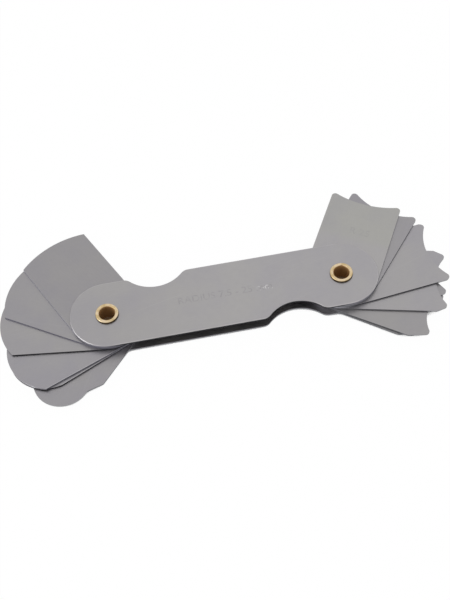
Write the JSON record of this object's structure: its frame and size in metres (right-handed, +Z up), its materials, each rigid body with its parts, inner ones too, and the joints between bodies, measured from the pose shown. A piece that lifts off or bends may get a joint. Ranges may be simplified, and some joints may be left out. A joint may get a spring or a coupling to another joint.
{
  "type": "radius gauge",
  "caption": "Folding radius gauge: convex and concave sheet-steel gauge leaves fan out on hollow brass rivets from the two ends of a notched steel holder.",
  "frame": {"origin": "on the axis of the convex end's hollow rivet, in the plane that the gauge lies on (the outer faces of the two lower rivet rims)", "axes": "+X along the holder to the concave end's rivet, +Z up along the rivet axes, out of the upper cover"},
  "size_m": [0.1218, 0.0516, 0.0054],
  "materials": {
    "cover_steel": "satin",
    "leaf_steel": "satin",
    "rivet_brass": "polished"
  },
  "bodies": {
    "holder": {"upper_cover": "cover_steel", "lower_cover": "cover_steel", "convex_end_rivet": "rivet_brass", "concave_end_rivet": "rivet_brass"},
    "convex_leaf_25": {"convex_leaf_25": "leaf_steel"},
    "convex_leaf_17_5": {"convex_leaf_17_5": "leaf_steel"},
    "convex_leaf_15": {"convex_leaf_15": "leaf_steel"},
    "convex_leaf_12_5": {"convex_leaf_12_5": "leaf_steel"},
    "convex_leaf_10": {"convex_leaf_10": "leaf_steel"},
    "convex_leaf_7_5": {"convex_leaf_7_5": "leaf_steel"},
    "concave_leaf_25": {"concave_leaf_25": "leaf_steel"},
    "concave_leaf_17_5": {"concave_leaf_17_5": "leaf_steel"},
    "concave_leaf_15": {"concave_leaf_15": "leaf_steel"},
    "concave_leaf_12_5": {"concave_leaf_12_5": "leaf_steel"},
    "concave_leaf_10": {"concave_leaf_10": "leaf_steel"},
    "concave_leaf_7_5": {"concave_leaf_7_5": "leaf_steel"}
  },
  "joints": [
    {"name": "convex_leaf_25_hinge", "type": "hinge", "parent": "holder", "child": "convex_leaf_25", "pos_m": [0, 0, 0.00271], "axis": [0, 0, 1], "continuous": true},
    {"name": "convex_leaf_17_5_hinge", "type": "hinge", "parent": "holder", "child": "convex_leaf_17_5", "pos_m": [0, 0, 0.00271], "axis": [0, 0, 1], "continuous": true},
    {"name": "convex_leaf_15_hinge", "type": "hinge", "parent": "holder", "child": "convex_leaf_15", "pos_m": [0, 0, 0.00271], "axis": [0, 0, 1], "continuous": true},
    {"name": "convex_leaf_12_5_hinge", "type": "hinge", "parent": "holder", "child": "convex_leaf_12_5", "pos_m": [0, 0, 0.00271], "axis": [0, 0, 1], "continuous": true},
    {"name": "convex_leaf_10_hinge", "type": "hinge", "parent": "holder", "child": "convex_leaf_10", "pos_m": [0, 0, 0.00271], "axis": [0, 0, 1], "continuous": true},
    {"name": "convex_leaf_7_5_hinge", "type": "hinge", "parent": "holder", "child": "convex_leaf_7_5", "pos_m": [0, 0, 0.00271], "axis": [0, 0, 1], "continuous": true},
    {"name": "concave_leaf_25_hinge", "type": "hinge", "parent": "holder", "child": "concave_leaf_25", "pos_m": [0.0639, 0, 0.00271], "axis": [0, 0, 1], "continuous": true},
    {"name": "concave_leaf_17_5_hinge", "type": "hinge", "parent": "holder", "child": "concave_leaf_17_5", "pos_m": [0.0639, 0, 0.00271], "axis": [0, 0, 1], "continuous": true},
    {"name": "concave_leaf_15_hinge", "type": "hinge", "parent": "holder", "child": "concave_leaf_15", "pos_m": [0.0639, 0, 0.00271], "axis": [0, 0, 1], "continuous": true},
    {"name": "concave_leaf_12_5_hinge", "type": "hinge", "parent": "holder", "child": "concave_leaf_12_5", "pos_m": [0.0639, 0, 0.00271], "axis": [0, 0, 1], "continuous": true},
    {"name": "concave_leaf_10_hinge", "type": "hinge", "parent": "holder", "child": "concave_leaf_10", "pos_m": [0.0639, 0, 0.00271], "axis": [0, 0, 1], "continuous": true},
    {"name": "concave_leaf_7_5_hinge", "type": "hinge", "parent": "holder", "child": "concave_leaf_7_5", "pos_m": [0.0639, 0, 0.00271], "axis": [0, 0, 1], "continuous": true}
  ]
}
